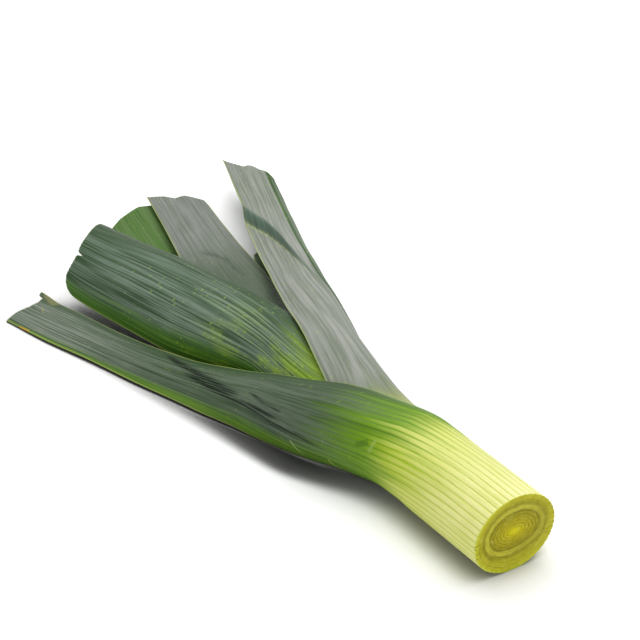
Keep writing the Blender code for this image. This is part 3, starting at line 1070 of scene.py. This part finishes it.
greyLeaf = {
    "name": "leaf_grey",
    "slot": "grey_leaf",
    "seed": 41,
    "grid": (110, 200),
    "ring": (12.8, 10.3),
    "ringWall": 1.8,
    "closed": 102,
    "keel": 84,
    "openWall": 1.6,
    "narrowTo": 135,
    "stations": [
        (118, 1, 25.9, 86, 235, 51, 0.8, 0, 1.5),
        (135, 1.5, 24.2, 90, 155, 37.5, 0.86, 0, 1.3),
        (155, 3, 23.0, 90, 108, 36, 0.95, 0, 1.2),
        (180, 6.5, 20.8, 87, 80, 38, 1, 0, 1.2),
        (205, 10.5, 17.4, 86, 62, 40, 1, 0, 1.1),
        (240, 19, 14.8, 87, 46, 40, 1, 0, 1.1),
        (280, 29.3, 11.3, 88, 42, 35.5, 1, 0, 1.1),
        (330, 43, 8.5, 88, 40, 31.4, 1, 0, 1.0),
        (362, 51.5, 7.4, 88, 40, 29.8, 1, 0, 1.0),
    ],
    "ends": [
        (-0.5, 334), (-0.47, 340.5), (-0.31, 342.4), (-0.13, 346.4), (0.05, 346.2),
        (0.21, 352), (0.35, 355), (0.46, 358), (0.5, 360)
    ],
    "ragged": 0.45,
    "strandCount": 20,
    "strandHeight": 0.08,
    "swell": 0.35,
    "rimWave": 0.15,
    "wrinkleDepth": 0.45,
    "wrinkles": [([(0.25, 285), (0.06, 275), (-0.07, 267), (-0.11, 252), (-0.15, 236)], 1.8, 1.2)],
    # crease colour: painted shade in the wrinkle
    "creaseShadeColor": (82, 92, 80),
    "look": {
        "ribCount": 86.0,
        "pale": (180, 186, 130),
        "paleLine": (140, 156, 66),
        "fresh": (92, 116, 54),
        "deep": (76, 89, 70),
        # pale grey bloom colour: waxy bloom and painted sheen
        "bloom": (134, 137, 132),
        "paleEnd": 96.0,
        "bloomShare": 0.95,
        # little bloom on the near part: its dark green is partly painted shade where the tall leaf shades it
        "bloomNear": 0.1,
        "bloomTurn": 268.0,
        "even": 0.66,
        "lineShare": 0.32,
        "side": (74, 104, 44),
    },
}
dress(greyLeaf)

# short dark leaf under the tall one

shadedLeaf = {
    "name": "leaf_shaded",
    "slot": "shaded_leaf",
    "seed": 53,
    "grid": (100, 150),
    "ring": (10.7, 8.2),
    "ringWall": 1.6,
    "closed": 103,
    "keel": 60,
    "openWall": 1.4,
    "narrowTo": 122,
    "stations": [
        (112, 5.2, 23.4, 60, 280, 50.8, 0.765, 0, 1.1),
        (122, 6.7, 21.7, 56, 198, 34.5, 0.78, 0, 1.3),
        (138, 9.5, 18.6, 58, 143, 30.5, 0.85, 0, 1.2),
        (160, 18, 14.6, 68, 98, 29, 0.95, 0, 1.1),
        (190, 27, 10.6, 80, 60, 29, 1, 0, 1.1),
        (215, 36, 8.6, 85, 45, 27, 1, 0, 1.0),
        (240, 45, 7.6, 88, 35, 24, 1, 0, 1.0),
        (276, 60, 6.5, 90, 28, 20, 1, 0, 1.0),
    ],
    "ends": [(-0.5, 268), (0, 277), (0.5, 273)],
    "ragged": 0.4,
    "strandCount": 18,
    "strandHeight": 0.07,
    "swell": 0.2,
    "rimWave": 0.15,
    "look": {
        "ribCount": 57.0,
        "pale": (206, 216, 140),
        "paleLine": (160, 184, 76),
        "fresh": (92, 122, 54),
        "deep": (74, 94, 62),
        "bloom": (98, 112, 98),
        "paleEnd": 100.0,
        "side": (44, 72, 24),
    },
}
dress(shadedLeaf)

# bright green leaf that lies lowest

lowLeaf = {
    "name": "leaf_low",
    "slot": "low_leaf",
    "seed": 67,
    "grid": (110, 180),
    "ring": (8.8, 6.3),
    "ringWall": 1.4,
    "closed": 104,
    "keel": 120,
    "openWall": 1.3,
    "narrowTo": 130,
    "stations": [
        (110, -3.4, 21.7, 120, 325, 45.0, 0.71, 0, 1.15),
        (118, -3.1, 19.8, 120, 268, 34.2, 0.74, 0, 1.2),
        (130, -5.4, 16.8, 122, 190, 28, 0.82, 0, 1.2),
        (145, -6.2, 13.8, 116, 135, 28, 0.9, 0, 1.1),
        (165, -4.8, 10.4, 105, 85, 31, 1, 0, 1.1),
        (190, -2, 8.3, 97.5, 55, 36, 1, 0, 1.1),
        (220, 2, 6.3, 92.5, 38, 40, 1, 0, 1.1),
        (280, 13, 4.2, 89.5, 24, 42, 1, 0, 1.0),
        (356, 30, 2.85, 88.5, 18, 42, 1, 0, 1.0),
    ],
    "ends": [(-0.5, 346), (-0.25, 354), (0.02, 356.5), (0.15, 354.3), (0.34, 350.2), (0.5, 344)],
    "ragged": 0.4,
    "strandCount": 22,
    "strandHeight": 0.08,
    "swell": 0.2,
    "rimWave": 0.1,
    "look": {
        "ribCount": 83.0,
        "pale": (210, 220, 130),
        "paleLine": (170, 190, 60),
        "fresh": (84, 114, 30),
        "deep": (66, 104, 32),
        "bloom": (104, 120, 84),
        "paleEnd": 100.0,
        "freshEnd": 140.0,
        "bloomShare": 0.45,
        "side": (66, 106, 26),
        "speckShare": 0.2,
    },
}
dress(lowLeaf)

# inner ring of the cut face

youngLeaf = {
    "name": "leaf_young",
    "slot": "young_leaf",
    "seed": 71,
    "grid": (84, 60),
    "ring": (7.1, 4.6),
    "ringWall": 1.3,
    "closed": 92,
    "keel": 90,
    "openWall": 1.2,
    "narrowTo": 117,
    "stations": [
        (106, 0.2, 20.3, 92, 280, 29, 0.65, 0, 1.0),
        (117, -0.8, 17.4, 95, 160, 14, 0.65, 0, 0.8),
    ],
    "ends": [(-0.5, 106), (-0.25, 111), (0, 116), (0.25, 111), (0.5, 106)],
    "ragged": 0.2,
    "strandCount": 14,
    "strandHeight": 0.04,
    "swell": 0.0,
    "rimWave": 0.0,
    "look": {
        "ribCount": 28.0,
        "pale": (220, 222, 120),
        "paleLine": (190, 200, 60),
        "fresh": (160, 180, 50),
        "deep": (140, 170, 50),
        "bloom": (180, 190, 90),
        "paleEnd": 110.0,
        "freshEnd": 150.0,
        "bloomShare": 0.1,
        "side": (150, 180, 60),
        "speckShare": 0.0,
    },
}
dress(youngLeaf)

# solid centre

heart = {
    "halfWidth": 5.5,
    "halfHeight": 3.0,
    "length": 104.0,
    "taper": ((8, 0.8), (5, 0.62), (3, 0.32)),
    "bumpStrength": 0.6,
    "bumpDepth": 0.0002,
    "ior": 1.4,
    "gloss": 0.12,
}


def buildHeart():
    straight = heart["length"] - sum(step for step, size in heart["taper"])
    middle = shaft["faceX"] - straight / 2
    bpy.ops.mesh.primitive_cylinder_add(
        vertices=72,
        radius=1,
        depth=straight * mm,
        end_fill_type="TRIFAN",
        location=(middle * mm, 0, shaft["axisHeight"] * mm),
        rotation=(0, math.pi / 2, 0),
    )
    piece = bpy.context.object
    piece.name = "heart_fine"
    piece.scale = (heart["halfHeight"] * mm, heart["halfWidth"] * mm, 1)
    onlyThis(piece)
    bpy.ops.object.transform_apply(location=True, rotation=True, scale=True)
    mesh = piece.data
    for item in (*mesh.vertices, *mesh.edges, *mesh.polygons):
        item.select = False
    for side in mesh.polygons:
        side.select = side.normal.x < -0.9
    bpy.ops.object.mode_set(mode="EDIT")
    bpy.ops.mesh.select_mode(type="FACE")
    for step, size in heart["taper"]:
        bpy.ops.mesh.extrude_region_move(TRANSFORM_OT_translate={"value": (-step * mm, 0, 0)})
        bpy.ops.transform.resize(
            value=(1, size, size), center_override=(0, 0, shaft["axisHeight"] * mm), orient_type="GLOBAL"
        )
    bpy.ops.object.mode_set(mode="OBJECT")
    bpy.ops.object.shade_smooth_by_angle(angle=math.radians(35))
    return piece


def heartMaterial():
    material = bpy.data.materials.new("heartFlesh")
    material.use_nodes = True
    tree = material.node_tree
    flesh = useGroup(tree, cutFlesh, place=tree.nodes.new("ShaderNodeTexCoord").outputs["Object"])
    finishShader(tree, heart, flesh["color"], flesh["roughness"], flesh["height"])
    return material


heartPiece = buildHeart()
heartPiece.data.materials.clear()
heartPiece.data.materials.append(heartMaterial())
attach(heartPiece, "root")
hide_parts("heart")
print("heart")

# floor

floorLook = {
    "size": 9.0,
    "drop": 0.0002,
    "shades": ((0.95, 0.95, 0.95, 1), (0.98, 0.98, 0.975, 1)),
    "shadow": (0.07, 0.07, 0.07, 1),
    "contactReach": 0.015,
}
bpy.ops.mesh.primitive_plane_add(size=floorLook["size"], location=(0, 0, -floorLook["drop"]))
ground = bpy.context.object
ground.name = "floor"
paper = bpy.data.materials.new("paleFloor")
paper.use_nodes = True
tree = paper.node_tree
floorShader = tree.nodes["Principled BSDF"]
floorShader.inputs["Roughness"].default_value = 0.8
floorPlace = tree.nodes.new("ShaderNodeTexCoord").outputs["Object"]
floorColor = tint(tree, cloud(tree, floorPlace, 3.0, 3.0), *floorLook["shades"])

# painted shadow: the floor colour darkens by ambient occlusion close under the leaves, most on the side of
# the front leaf
contact = tree.nodes.new("ShaderNodeAmbientOcclusion")
contact.samples = 16
contact.inputs["Distance"].default_value = floorLook["contactReach"]
floorX, floorY, _ = split(tree, floorPlace)
frontSide = times(tree, rise(tree, floorX, -0.02, -0.08), rise(tree, floorY, 0.01, -0.03))
shadeFrom = scaleAdd(tree, frontSide, 0.15, 0.84)
shadeFull = scaleAdd(tree, frontSide, 0.56, 0.2)
shadeShare = rise(tree, contact.outputs["AO"], shadeFrom, shadeFull)
shadeShare = times(tree, shadeShare, scaleAdd(tree, frontSide, 0.35, 0.65), rise(tree, floorY, 0.09, -0.01))
feed(tree, floorShader.inputs["Base Color"], tint(tree, shadeShare, floorColor, floorLook["shadow"]))
ground.data.materials.append(paper)
print("floor")
